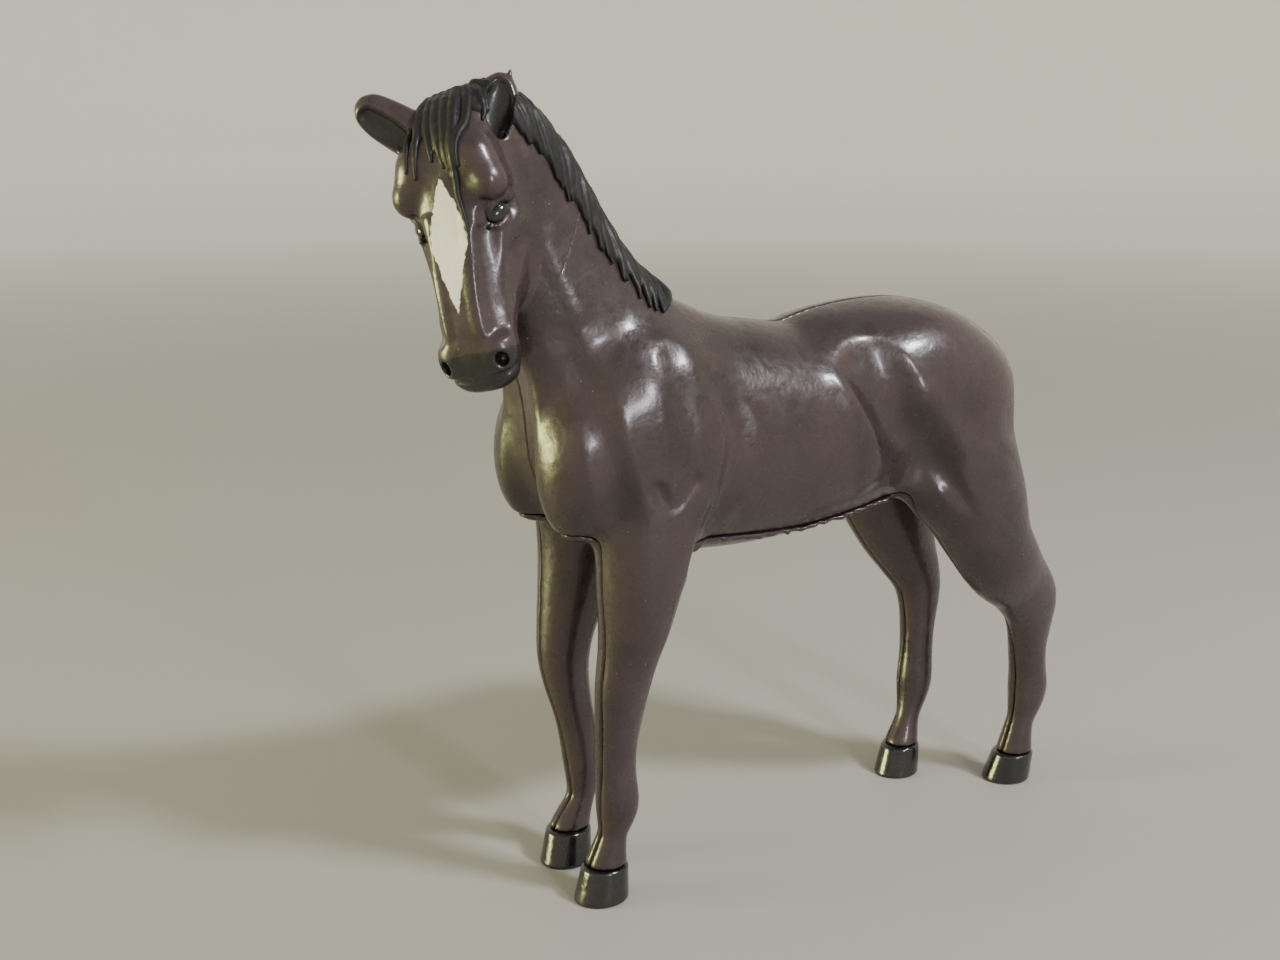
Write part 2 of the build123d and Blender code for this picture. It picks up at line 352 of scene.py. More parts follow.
# The furrow between the two sides of the chest: (points, width, depth)
CHEST_FURROW = ([(0, -57, 99), (0, -56, 90), (0, -55, 81), (0, -51.5, 73)], 7.5, 3.4)
NECK_BLEND = 6
LEG_BLEND = 3

# The head in its own directions. Stations are (side, forward, up, half width, half depth).
SKULL = [
    (0, -2.6, 0.4, 6.6, 5.2), (0, -1.6, -1.8, 8.0, 8.6), (0, -0.4, -5.4, 8.9, 9.9),
    (0, -0.4, -10, 9.3, 10.3), (0, -0.6, -15, 8.9, 11.1), (0, 1.3, -19.5, 7.9, 10),
    (0, 4.6, -23.5, 7.0, 7.6), (0, 6.9, -28, 6.7, 5.9), (0, 8.1, -32, 6.5, 4.9),
    (0, 8.3, -35.4, 6.3, 4.5), (0, 8.0, -37.8, 5.7, 3.9),
]
SKULL_POWER = 2.6
# Ears and their hollows: (stations, direction of the half widths)
LEFT_EAR_ACROSS = (0.894, -0.447, 0.0)
RIGHT_EAR_ACROSS = (0.44, -0.22, 0.87)
LEFT_EAR = ([(5.6, -0.6, -3.0, 3.5, 3.0), (6.3, -1.0, 0.6, 3.8, 2.7), (7.2, -2.2, 4.0, 3.7, 2.3),
             (7.8, -3.2, 6.6, 2.9, 1.8), (8.0, -3.7, 7.6, 1.9, 1.4)], LEFT_EAR_ACROSS)
LEFT_HOLLOW = ([(7.4, 1.6, -0.6, 2.0, 1.5), (8.1, 0.5, 2.2, 2.6, 1.8), (8.7, -0.8, 5.0, 2.3, 1.6),
                (8.9, -1.8, 6.8, 1.2, 0.9)], LEFT_EAR_ACROSS)
RIGHT_EAR = ([(-5.2, 2.0, -0.4, 3.6, 3.1), (-7.4, 3.5, 2.4, 3.9, 2.9), (-10.2, 5.0, 5.2, 3.6, 2.5),
              (-11.8, 5.9, 7.0, 3.0, 2.1), (-12.5, 6.2, 7.8, 2.1, 1.6)], RIGHT_EAR_ACROSS)
RIGHT_HOLLOW = ([(-6.8, 6.3, 0.6, 1.8, 1.5), (-9.7, 7.6, 3.4, 2.4, 1.8), (-11.9, 8.1, 5.9, 1.8, 1.4)],
                RIGHT_EAR_ACROSS)
LEFT_EAR_FLASH = [(9.3, -4.0, 6.8, 0.6, 0.6), (9.7, -4.5, 8.8, 0.3, 0.3)]
EAR_BLEND = 1.6
HOLLOW_BLEND = 0.6
FLASH_BLEND = 0.5
HAIR_CLEARANCE = 0.2
SKULL_BLEND = 1.6
EYE_CENTRE = (7.15, 5.9, -13.5)
EYE_RADII = (2.4, 1.5, 1.3)  # along the lids, across them, outwards
EYE_OUTWARD = (0.80, 0.58, 0.12)
EYE_REAR = (0.50, -0.72, 0.42)  # the rear corner is the higher one
UPPER_LID = [(-3.0, -0.9), (-1.6, 0.9), (0.4, 1.5), (3.0, 0.9)]
LOWER_LID = [(-3.0, -1.1), (-1.2, -1.6), (1.0, -1.3), (3.1, 0.6)]
LID_CREASE = [(u, v + 1.6) for u, v in UPPER_LID]
SOCKET = [(-2.0, 0), (2.0, 0)]
# Lines round an eye: ((along, across) places on its face, lift outwards, width, depth)
EYE_LINES = [(SOCKET, 0.8, 3.0, 1.2), (LID_CREASE, 1.2, 1.4, 0.45), (UPPER_LID, 1.0, 1.3, -1.15),
             (LOWER_LID, 0.7, 1.2, -0.85)]

# The left side of the face. Rounded forms: (centre, radii, blend)
CHEEK = ((4.2, -3.0, -13.5), (4.6, 8.5, 8.0), 3.0)
BROW = ((7.6, 6.9, -8.4), (2.8, 3.4, 3.2), 2.2)
FOREHEAD_SIDE = ((5.6, 6.8, -4.0), (3.0, 3.0, 3.6), 3.0)
MUZZLE_SIDE = ((4.3, 9.6, -35.4), (2.6, 2.9, 3.4), 2.0)
# Lines: (points, width, depth). Negative depth stands out.
NOSE_RIDGE = ([(3.7, 9.8, -13), (3.5, 11.0, -19), (3.2, 12.1, -25), (3.2, 12.2, -31)], 2.2, -0.5)
BESIDE_NOSE = ([(6.0, 9.0, -17), (5.6, 9.9, -22), (5.3, 10.8, -27), (5.2, 11.0, -31)], 3.2, 1.3)
JAW_LINE = ([(8.2, 1.6, -18), (7.4, 5.0, -22), (7.0, 7.6, -27)], 3.0, 0.35)
THROAT_LINE = ([(8.2, -10.4, -2), (8.6, -11.8, -9), (8.2, -12.0, -15), (6.4, -9.2, -20),
                (4.0, -5.0, -23.5)], 2.9, 2.2)
MOUTH = ([(6.8, 6.2, -37.0), (6.3, 9.0, -38.2), (3.6, 11.4, -39.3), (0, 12.2, -39.6)], 0.9, 0.55)
NOSTRIL = ((5.1, 11.5, -36.6), (0.95, 1.5, 1.2), 0.8)  # centre, radii, rounding of the edge


def head_direction(side, forward, up):
    return HEAD_LEFT * side + HEAD_FORWARD * forward + HEAD_UP * up


def head_limb(stations, across=(1.0, 0.0, 0.0), power=2.0):
    """A limb given in the head's own directions."""
    placed = [(*head_point(*place), width, depth) for *place, width, depth in stations]
    return Limb(placed, across=head_direction(*across), power=power)


def eye_axes(sign):
    """Directions along the lids, across them and outwards."""
    outward = unit(head_direction(sign * EYE_OUTWARD[0], *EYE_OUTWARD[1:]))
    rear = head_direction(sign * EYE_REAR[0], *EYE_REAR[1:])
    rear = unit(rear - outward * (rear @ outward))
    across = np.cross(outward, rear) * sign
    return np.array([rear, across, outward])


def on_side(sign, place):
    """A place on the left side of the head, or the same on its right."""
    side, forward, up = place
    return head_point(sign * side, forward, up)


def lid_line(sign, places, lift):
    """A line round the eye, from (along, across) places on its face."""
    centre = on_side(sign, EYE_CENTRE)
    rear, across, outward = eye_axes(sign)
    return Line([centre + rear * u + across * v + outward * lift for u, v in places])


def eyeball(sign):
    return Blob(on_side(sign, EYE_CENTRE), EYE_RADII, eye_axes(sign))


def press_side(field, sign, line):
    points, width, depth = line
    field.press(Line([on_side(sign, point) for point in points]), width, depth)


def add_face(field, sign):
    """Brow, eye socket, cheek, nose ridge, nostril and mouth of one side."""
    for centre, radii, blend in (CHEEK, BROW, FOREHEAD_SIDE, MUZZLE_SIDE):
        field.add(Blob(on_side(sign, centre), radii, HEAD_AXES), blend)
    for places, lift, width, depth in EYE_LINES:
        field.press(lid_line(sign, places, lift), width, depth)
    for line in (NOSE_RIDGE, BESIDE_NOSE, JAW_LINE, THROAT_LINE):
        press_side(field, sign, line)
    centre, radii, rounding = NOSTRIL
    field.cut(Blob(on_side(sign, centre), radii, HEAD_AXES), rounding)
    press_side(field, sign, MOUTH)


def add_head(field):
    """Skull and face."""
    field.add(head_limb(SKULL, power=SKULL_POWER), SKULL_BLEND)
    for sign in (-1, 1):
        add_face(field, sign)


def add_ears(field):
    """The two ears with their hollows, and the moulding flash on the left one."""
    for stations, across in (LEFT_EAR, RIGHT_EAR):
        field.add(head_limb(stations, across), EAR_BLEND)
    for stations, across in (LEFT_HOLLOW, RIGHT_HOLLOW):
        field.cut(head_limb(stations, across), HOLLOW_BLEND)
    field.add(head_limb(LEFT_EAR_FLASH), FLASH_BLEND)


def clear_of_ears(field):
    """Takes the ears and the space in front of their hollows out of the hair."""
    for stations, across in (LEFT_EAR, RIGHT_EAR, LEFT_HOLLOW, RIGHT_HOLLOW):
        field.cut(head_limb(stations, across), HAIR_CLEARANCE)


def sculpt(field):
    """The whole horse without hooves, ears, hair and eyes."""
    field.add(Limb(TRUNK))
    field.add(Limb(NECK), NECK_BLEND)
    for (across, along, up), radii, blend in MUSCLES:
        for sign in (1, -1):
            field.add(Blob((sign * across, along, up), radii), blend)
    for leg in LEGS:
        field.add(Limb(leg), LEG_BLEND)
    field.soften(BODY_BLUR)
    add_head(field)
    for points, width, depth in CREASES:
        for sign in (1, -1):
            field.press(Line([(sign * x, y, z) for x, y, z in points]), width, depth)
    points, width, depth = CHEST_FURROW
    field.press(Line(points), width, depth)


# ---- surfaces

CORNERS = [(i, j, k) for i in (0, 1) for j in (0, 1) for k in (0, 1)]
CELL_EDGES = [(a, b) for a in range(8) for b in range(a + 1, 8)
              if sum(abs(p - q) for p, q in zip(CORNERS[a], CORNERS[b])) == 1]
LEAST_SQUARE = 0.2  # keeps a point still where the field is nearly flat
MOST_MOVE = 0.4  # of a grid step
RELAX_ROUNDS = 2
RELAX_SHARE = 0.5  # how far a point goes towards its neighbours' mean


def corner_slice(corner, shape):
    """The part of a grid that holds one corner of every cell."""
    return tuple(slice(c, n - 1 + c) for c, n in zip(corner, shape))


def closed_at_edges(values, step):
    """A copy of the grid's values with its outermost layers outside the form."""
    values = values.copy()
    for axis in range(3):
        edge = [slice(None)] * 3
        for end in (0, -1):
            edge[axis] = end
            values[tuple(edge)] = np.maximum(values[tuple(edge)], 0.5 * step)
    return values


def cell_points(values, cells, low, step):
    """One point per cell: the mean of the places where the surface crosses the cell's edges."""
    samples = [values[tuple((cells + corner).T)] for corner in CORNERS]
    total = np.zeros((len(cells), 3))
    crossings = np.zeros(len(cells))
    for a, b in CELL_EDGES:
        cross = (samples[a] < 0) != (samples[b] < 0)
        part = samples[a][cross] / (samples[a][cross] - samples[b][cross])
        start = np.array(CORNERS[a], float)
        run = np.array(CORNERS[b], float) - start
        total[cross] += start + part[:, None] * run
        crossings[cross] += 1
    return low + step * (cells + total / crossings[:, None])


def crossed_edge_quads(inside, number):
    """A quad round each grid edge that the surface crosses; number gives each cell's point."""
    quads = []
    for axis in range(3):
        first = [slice(1, -1)] * 3
        second = [slice(1, -1)] * 3
        first[axis] = slice(0, -1)
        second[axis] = slice(1, None)
        here, there = inside[tuple(first)], inside[tuple(second)]
        edges = np.argwhere(here != there) + 1
        edges[:, axis] -= 1
        if not len(edges):
            continue
        u, v = np.zeros(3, int), np.zeros(3, int)
        u[(axis + 1) % 3] = 1
        v[(axis + 2) % 3] = 1
        ring = [number[tuple((edges - back).T)] for back in (u + v, v, 0 * u, u)]
        face = np.stack(ring, axis=1)
        leaving = inside[tuple(edges.T)]
        face[~leaving] = face[~leaving][:, ::-1]
        quads.append(face)
    return np.concatenate(quads)


def surface_net(values, low, step):
    """Points and quads on the zero level of a grid, one point in each cell that it crosses."""
    values = closed_at_edges(values, step)
    inside = values < 0
    count = np.zeros([n - 1 for n in values.shape], np.uint8)
    for corner in CORNERS:
        count += inside[corner_slice(corner, values.shape)]
    cells = np.argwhere((count > 0) & (count < len(CORNERS)))
    number = np.full(count.shape, -1, np.int32)
    number[tuple(cells.T)] = np.arange(len(cells))
    return cell_points(values, cells, low, step), crossed_edge_quads(inside, number)


def relaxed(points, quads):
    """Evens out the points by moving each towards the mean of its neighbours."""
    links = np.concatenate([quads[:, [0, 1]], quads[:, [1, 2]], quads[:, [2, 3]], quads[:, [3, 0]]])
    ends = np.concatenate([links, links[:, ::-1]])
    degree = np.bincount(ends[:, 0], minlength=len(points))[:, None]
    for _ in range(RELAX_ROUNDS):
        mean = np.stack([np.bincount(ends[:, 0], weights=points[ends[:, 1], axis], minlength=len(points))
                         for axis in range(3)], axis=1) / np.maximum(degree, 1)
        points = points + (mean - points) * RELAX_SHARE
    return points


def sampled(values, low, step, points):
    """Field values between grid points."""
    place = (points - low) / step
    base = np.clip(np.floor(place).astype(int), 0, np.array(values.shape) - 2)
    part = place - base
    result = np.zeros(len(points))
    for corner in CORNERS:
        weight = np.ones(len(points))
        for axis in range(3):
            weight = weight * (part[:, axis] if corner[axis] else 1 - part[:, axis])
        result += weight * values[tuple((base + corner).T)]
    return result


def way_down(values, low, step, points, reach, level=0.0):
    """The move that takes each point to a level of the field, along the field's slope there."""
    here = sampled(values, low, step, points) - level
    slope = np.stack([sampled(values, low, step, points + side * reach)
                      - sampled(values, low, step, points - side * reach)
                      for side in np.eye(3)], axis=1) / (2 * reach)
    square = np.maximum((slope ** 2).sum(axis=1), LEAST_SQUARE)
    return slope * (here / square)[:, None]


def settled(values, low, step, points):
    """Moves points onto the zero level, each by a part of a grid step at most."""
    move = way_down(values, low, step, points, 0.5 * step)
    return points - np.clip(move, -MOST_MOVE * step, MOST_MOVE * step)


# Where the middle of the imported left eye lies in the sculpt's head directions
LEFT_EYE_NODE = (7.9, 6.0, -12.8)


def frame_shift():
    """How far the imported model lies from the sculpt, in metres."""
    low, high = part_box("left_eye")
    middle = np.array([(a + b) / 2 for a, b in zip(low, high)])
    return middle - head_point(*LEFT_EYE_NODE) * MM


SHIFT = frame_shift()


def add_to_scene(name, data):
    thing = bpy.data.objects.new(name, data)
    bpy.context.scene.collection.objects.link(thing)
    return thing


def make_piece(name, field, values, material, node):
    """An object in metres on the zero level of values, which stands for a CAD node."""
    points, quads = surface_net(values, field.low, field.step)
    points = settled(values, field.low, field.step, relaxed(points, quads))
    mesh = bpy.data.meshes.new(name)
    mesh.vertices.add(len(points))
    mesh.vertices.foreach_set("co", (points * MM + SHIFT).ravel())
    mesh.loops.add(quads.size)
    mesh.loops.foreach_set("vertex_index", quads.ravel().astype(np.int32))
    mesh.polygons.add(len(quads))
    mesh.polygons.foreach_set("loop_start", np.arange(0, quads.size, 4, dtype=np.int32))
    mesh.polygons.foreach_set("use_smooth", np.ones(len(quads), bool))
    mesh.update(calc_edges=True)
    mesh.validate()
    mesh.materials.append(material)
    piece = add_to_scene(name, mesh)
    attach(piece, "root")
    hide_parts(node)
    return piece, points


def set_mask(piece, name, values):
    """Stores one number per point on a piece."""
    layer = piece.data.attributes.new(name, "FLOAT", "POINT")
    layer.data.foreach_set("value", np.asarray(values, np.float32))


# ---- dividing the form

INSERT_HALF = 8.2  # half width of the underbelly moulding at the ground
INSERT_SLOPE = 0.063  # and what it gains per millimetre of height
INSERT_BLEND = 2.0
# The underbelly moulding's top: (Y, Z)
INSERT_TOP = [(-75, 72), (-48, 72), (-30, 68.5), (0, 67), (15, 69), (30, 72), (45, 77), (80, 77)]
FLASH_SEED = 3
FLASH_FROM, FLASH_TO, FLASH_PITCH = -27.0, 22.0, 1.1  # along the belly
FLASH_REACH = (0.35, 1.15)
FLASH_HALF = 0.42  # half its thickness
FLASH_FLOOR = 60.0  # none on the legs, below this height
HEAD_CUT_POINT = head_point(0, -11.9, -12)
HEAD_CUT_NORMAL = HEAD_FORWARD * 0.864 + HEAD_UP * 0.503


def insert_region(field):
    """Negative inside the underbelly moulding."""
    sides = np.abs(field.x) - (INSERT_HALF + INSERT_SLOPE * field.z)
    heights = np.interp(field.y.ravel(), *zip(*INSERT_TOP))[None, :, None]
    return smooth_max(sides, field.z - heights, INSERT_BLEND)


def belly_flash(field, belly):
    """A thin ragged lip of spare plastic that stands out along the belly seam."""
    chance = np.random.default_rng(FLASH_SEED)
    knots = np.arange(FLASH_FROM, FLASH_TO, FLASH_PITCH)
    reach = chance.uniform(*FLASH_REACH, len(knots))
    reach[0] = reach[-1] = 0
    out = np.interp(field.y.ravel(), knots, reach, left=-1, right=-1)[None, :, None]
    lip = np.maximum(np.abs(belly + FLASH_HALF) - FLASH_HALF, field.values - out)
    return np.maximum(lip, FLASH_FLOOR - field.z)


def head_region(field):
    """Negative on the head's side of its joint with the neck."""
    a, b, c = HEAD_CUT_NORMAL
    return -(a * field.x + b * field.y + c * field.z - HEAD_CUT_NORMAL @ HEAD_CUT_POINT)


def hoof_region(field):
    """Negative below the top edge of the hooves."""
    return field.z - HOOF_TOP


def clipped(values, *regions):
    """Keeps what is negative in every region, with rounded edges."""
    for region in regions:
        values = smooth_max(values, region.astype(np.float32), SEAM_ROUND)
    return values


# ---- paint

BROWN = (0.047, 0.029, 0.032, 1)
BROWN_DARK = (0.030, 0.019, 0.021, 1)
BROWN_WARM = (0.066, 0.037, 0.032, 1)
BLACK = (0.012, 0.011, 0.012, 1)
WHITE = (0.86, 0.84, 0.78, 1)
SPECK = (0.42, 0.38, 0.36, 1)
HAIR_BLACK = (0.012, 0.012, 0.013, 1)
HAIR_WORN = (0.036, 0.031, 0.033, 1)
GLOSS_BLACK = (0.008, 0.008, 0.009, 1)
DUST = (0.10, 0.095, 0.085, 1)
PEEL_HEIGHT, BRUSH_HEIGHT, SPECK_HEIGHT = 0.00016, 0.00008, 0.00008  # bump heights in metres
HAIR_HEIGHT, GLOSS_HEIGHT = 0.00012, 0.00014
MASK_RAGGED = 1.2  # how far a painted edge wanders, in millimetres
MASK_SOFT = 0.12  # half the width of its transition


class Nodes:
    """Short way to build a node tree."""

    def __init__(self, name):
        self.material = bpy.data.materials.new(name)
        self.material.use_nodes = True
        self.tree = self.material.node_tree
        self.shader = self.tree.nodes["Principled BSDF"]
        self.place = self.add("ShaderNodeTexCoord").outputs["Object"]

    def add(self, kind, **settings):
        node = self.tree.nodes.new(kind)
        for key, value in settings.items():
            setattr(node, key, value)
        return node

    def link(self, source, target):
        self.tree.links.new(source, target)

    def noise(self, scale, detail=3.0, rough=0.55, stretch=None):
        """Noise of a size given in waves per metre."""
        node = self.add("ShaderNodeTexNoise")
        node.inputs["Scale"].default_value = scale
        node.inputs["Detail"].default_value = detail
        node.inputs["Roughness"].default_value = rough
        source = self.place
        if stretch:
            mapping = self.add("ShaderNodeMapping")
            mapping.inputs["Scale"].default_value = stretch
            self.link(self.place, mapping.inputs["Vector"])
            source = mapping.outputs["Vector"]
        self.link(source, node.inputs["Vector"])
        return node.outputs["Fac"]

    def ramp(self, source, low, high, low_value=0.0, high_value=1.0):
        """A value that runs from one level to another as the source does."""
        node = self.add("ShaderNodeMapRange")
        node.interpolation_type = "SMOOTHSTEP"
        node.inputs["From Min"].default_value = low
        node.inputs["From Max"].default_value = high
        node.inputs["To Min"].default_value = low_value
        node.inputs["To Max"].default_value = high_value
        self.link(source, node.inputs["Value"])
        return node.outputs["Result"]

    def feed(self, value, socket):
        """Sets a socket to a constant, or links an output to it."""
        if isinstance(value, (int, float, tuple)):
            socket.default_value = value
        else:
            self.link(value, socket)

    def mix(self, factor, first, second):
        """Blend of two colours, each a colour or an output."""
        node = self.add("ShaderNodeMix", data_type="RGBA")
        self.link(factor, node.inputs["Factor"])
        self.feed(first, node.inputs[6])
        self.feed(second, node.inputs[7])
        return node.outputs[2]

    def math(self, operation, first, second):
        node = self.add("ShaderNodeMath", operation=operation)
        self.feed(first, node.inputs[0])
        self.feed(second, node.inputs[1])
        return node.outputs[0]

    def bump(self, height, distance, strength, before=None):
        node = self.add("ShaderNodeBump")
        node.inputs["Distance"].default_value = distance
        node.inputs["Strength"].default_value = strength
        self.link(height, node.inputs["Height"])
        if before is not None:
            self.link(before, node.inputs["Normal"])
        return node.outputs["Normal"]


def gloss_paint(name, mask=False):
    """Brushed gloss paint over moulded plastic, with optional black and white areas."""
    n = Nodes(name)
    patches = n.ramp(n.noise(scale=55, detail=4), low=0.38, high=0.66)
    warm = n.ramp(n.noise(scale=140, detail=5, rough=0.65), low=0.52, high=0.78, high_value=0.55)
    specks = n.ramp(n.noise(scale=1900, detail=2, rough=0.5), low=0.745, high=0.775)
    pits = n.ramp(n.noise(scale=1300, detail=2, rough=0.5), low=0.735, high=0.765)
    colour = n.mix(patches, BROWN, BROWN_DARK)
    colour = n.mix(warm, colour, BROWN_WARM)
    colour = n.mix(n.math("MULTIPLY", specks, 0.5), colour, SPECK)
    colour = n.mix(pits, colour, BLACK)
    if mask:
        ragged = n.math("MULTIPLY", n.math("SUBTRACT", n.noise(scale=900, detail=4), 0.5), MASK_RAGGED)
        for attribute, paint in (("white", WHITE), ("black", BLACK)):
            source = n.add("ShaderNodeAttribute", attribute_name=attribute).outputs["Fac"]
            edge = n.math("ADD", source, ragged)
            colour = n.mix(n.ramp(edge, -MASK_SOFT, MASK_SOFT), colour, paint)
    n.link(colour, n.shader.inputs["Base Color"])
    rough = n.ramp(n.noise(scale=420, detail=4, rough=0.6), 0.3, 0.75, low_value=0.24, high_value=0.40)
    n.link(rough, n.shader.inputs["Roughness"])
    n.shader.inputs["Coat Weight"].default_value = 0.25
    n.shader.inputs["Coat Roughness"].default_value = 0.13
    peel = n.bump(n.noise(scale=620, rough=0.5), PEEL_HEIGHT, strength=0.55)
    strokes = n.noise(scale=900, detail=4, rough=0.6, stretch=(1.0, 0.35, 0.6))
    brushed = n.bump(strokes, BRUSH_HEIGHT, strength=0.5, before=peel)
    n.link(n.bump(specks, SPECK_HEIGHT, strength=0.5, before=brushed), n.shader.inputs["Normal"])
    return n.material


def hair_paint(name):
    """Thin black paint on moulded hair, a little worn on its ridges."""
    n = Nodes(name)
    streaks = n.noise(scale=520, detail=5, rough=0.6, stretch=(1.0, 0.5, 0.5))
    colour = n.mix(n.ramp(streaks, low=0.55, high=0.75), HAIR_BLACK, HAIR_WORN)
    n.link(colour, n.shader.inputs["Base Color"])
    rough = n.ramp(n.noise(scale=700), 0.3, 0.7, low_value=0.38, high_value=0.6)
    n.link(rough, n.shader.inputs["Roughness"])
    n.shader.inputs["Specular IOR Level"].default_value = 0.3
    n.shader.inputs["Coat Weight"].default_value = 0.05
    n.shader.inputs["Coat Roughness"].default_value = 0.3
    strands = n.noise(scale=1500, detail=4, rough=0.6, stretch=(1.0, 0.4, 0.4))
    n.link(n.bump(strands, HAIR_HEIGHT, strength=0.6), n.shader.inputs["Normal"])
    return n.material


def black_gloss(name, roughness):
    """Thick gloss black paint with dust and scuffs."""
    n = Nodes(name)
    dust = n.ramp(n.noise(scale=700, detail=5, rough=0.65), low=0.6, high=0.8, high_value=0.35)
    n.link(n.mix(dust, GLOSS_BLACK, DUST), n.shader.inputs["Base Color"])
    rough = n.ramp(n.noise(scale=500, detail=4), 0.35, 0.75, roughness, roughness + 0.16)
    n.link(rough, n.shader.inputs["Roughness"])
    n.shader.inputs["Coat Weight"].default_value = 0.5
    n.shader.inputs["Coat Roughness"].default_value = 0.08
    n.link(n.bump(n.noise(scale=800), GLOSS_HEIGHT, strength=0.6), n.shader.inputs["Normal"])
    return n.material


# ---- pieces

TOUCHING = 0.01  # half the gap where two mouldings touch
BODY_LOW, BODY_HIGH = (-23.0, -64.0, -1.5), (23.0, 72.0, 150.0)
HEAD_LOW, HEAD_HIGH = (-16.0, -82.0, 92.0), (22.0, -38.0, 153.0)


def make_mouldings(paint):
    """The two body halves and the underbelly moulding."""
    field = Field(BODY_LOW, BODY_HIGH, BODY_STEP)
    sculpt(field)
    belly = insert_region(field)
    head = head_region(field)
    above_hooves = -hoof_region(field)
    half_gap = np.clip(SEAM_GAP / 2 * (1 + field.values / SEAM_DEPTH), TOUCHING, SEAM_GAP / 2)
    for name, sign in (("left_shell", 1), ("right_shell", -1)):
        values = clipped(field.values, half_gap - sign * field.x, half_gap - belly, above_hooves)
        values = np.maximum(values, -NECK_LAP - head)
        make_piece(name + "_form", field, values, paint, name)
    values = clipped(field.values, belly + half_gap, above_hooves)
    values = np.minimum(values, belly_flash(field, belly))
    make_piece("underbelly_form", field, values, paint, "underbelly_insert")


BLAZE = [(-28.4, 0.0), (-24.3, 1.2), (-19.5, 2.6), (-17, 3.4), (-14, 3.1), (-10.6, 2.0), (-6.2, 0.0)]
BLAZE_FRONT = 5  # the blaze lies further forward than this
MUZZLE_TOP = -34.9
MUZZLE_FRONT = 3
HOLLOW_EDGE = 0.45  # the black in the ears stops this far outside their hollows
UNPAINTED = -3  # a mask's value well away from its paint
NEAR = 3.0  # how far from a limb its distance is asked for
EYE_ROOM = 3.2
EYE_STEP = FINE_STEP * 0.6


def far_from(shape, points):
    """Distance of each point to a limb, up to its margin."""
    result = np.full(len(points), shape.margin)
    for piece in shape.pieces:
        near = np.all((points > piece.low - NEAR) & (points < piece.high + NEAR), axis=1)
        result[near] = np.minimum(result[near], piece.distance(*points[near].T))
    return result


def mask_head(piece, points):
    """Marks the white blaze, the black muzzle and the black inside the ears."""
    side, forward, up = ((points - HEAD_TOP) @ HEAD_AXES.T).T
    half = np.interp(up, *zip(*BLAZE))
    inside = (up > BLAZE[0][0]) & (up < BLAZE[-1][0]) & (forward > BLAZE_FRONT)
    set_mask(piece, "white", np.where(inside, half - np.abs(side), UNPAINTED))
    black = np.where(forward > MUZZLE_FRONT, MUZZLE_TOP - up, UNPAINTED)
    for stations, across in (LEFT_HOLLOW, RIGHT_HOLLOW):
        black = np.maximum(black, HOLLOW_EDGE - far_from(head_limb(stations, across), points))
    set_mask(piece, "black", black)


def make_head(bare, paint):
    """The head, with ears added to the bare form, and its painted areas."""
    field = Field(HEAD_LOW, HEAD_HIGH, FINE_STEP)
    field.values = bare.values.copy()
    add_ears(field)
    values = np.maximum(field.values, head_region(field) - NECK_LAP)
    mask_head(*make_piece("head_form", field, values, paint, "head"))


def make_eyes(paint):
    for name, sign in (("left_eye", 1), ("right_eye", -1)):
        ball = eyeball(sign)
        centre = (ball.low + ball.high) / 2
        spot = Field(centre - EYE_ROOM, centre + EYE_ROOM, EYE_STEP)
        spot.add(ball)
        make_piece(name + "_form", spot, spot.values, paint, name)


# ---- hair

CREST = [(-0.4, -61.0, 145.4), (0.8, -53.2, 142.6), (1, -46, 134.6), (1, -38.6, 123.4), (0.6, -33.4, 115.6),
         (0.3, -28, 110)]
CREST_STEPS = 8  # points per stretch of the crest
CREST_OUT = np.array([0.0, 0.86, 0.5])  # away from the neck
HAIR_SEED = 7
HAIR_BASE = 0.5  # thickness of the hair between the locks
HAIR_LAP = 0.2  # rounding where the hair meets the skin
MANE_LOW, MANE_HIGH = (-8.0, -66.0, 104.0), (13.0, -22.0, 152.0)
MANE_LOCKS = 36
MANE_END = 0.94  # share of the crest where the last lock starts
MANE_REACH = (0.85, 1.12)  # spread of the locks' lengths
MANE_BACK = (0.045, 0.085)  # and of how far each runs back along the crest per step
MANE_WIDTH = (0.8, 1.25)
# Where a lock goes, step by step: (to the left, down from the crest)
LEFT_FALL = [(0.0, -0.4), (2.4, 0.5), (4.6, 1.9), (6.6, 3.6)]
RIGHT_FALL = [(0.2, -0.4), (-1.6, 0.0), (-3.0, 0.9)]
RIGHT_WIDTH = 0.9  # of a left lock's
MANE_COVER = (1.4, 1.0, 4.6, 4.2)  # base hair: to the left, down, half width, half depth
MANE_COVER_END, MANE_COVER_STATIONS = 0.97, 12
MANE_DEPTH = 0.9  # how far the mane's inside reaches under the skin
MANE_BLEND = 0.35
LOCK_THICKNESS = 0.9  # of its width
LOCK_TAPER = 0.72  # share of its width that a lock loses by its end
LOCK_STEPS = 3
LAY_ROUNDS = 6


def laid_on(field, points, lift):
    """Moves points onto the surface of a field, and a little above it."""
    points = np.array(points, float)
    for _ in range(LAY_ROUNDS):
        points = points - way_down(field.values, field.low, field.step, points, field.step, lift)
    return points


def lock(field, points, width, lift=0.3):
    """One lock of hair that follows the surface and runs out to a point."""
    path = laid_on(field, curve_through(points, LOCK_STEPS), lift)
    shares = np.linspace(0, 1, len(path))
    widths = width * (1.0 - LOCK_TAPER * shares ** 2)
    return Limb([(*place, wide, wide * LOCK_THICKNESS) for place, wide in zip(path, widths)], steps=1)


def crest_at(share):
    """The place at a share of the way down the crest."""
    rows = curve_through(CREST, CREST_STEPS)
    place = np.clip(share, 0, 1) * (len(rows) - 1)
    index = min(int(place), len(rows) - 2)
    return rows[index] + (rows[index + 1] - rows[index]) * (place - index)


def beside_crest(share, side, drop):
    return crest_at(share) + np.array([side, 0, 0]) - CREST_OUT * drop


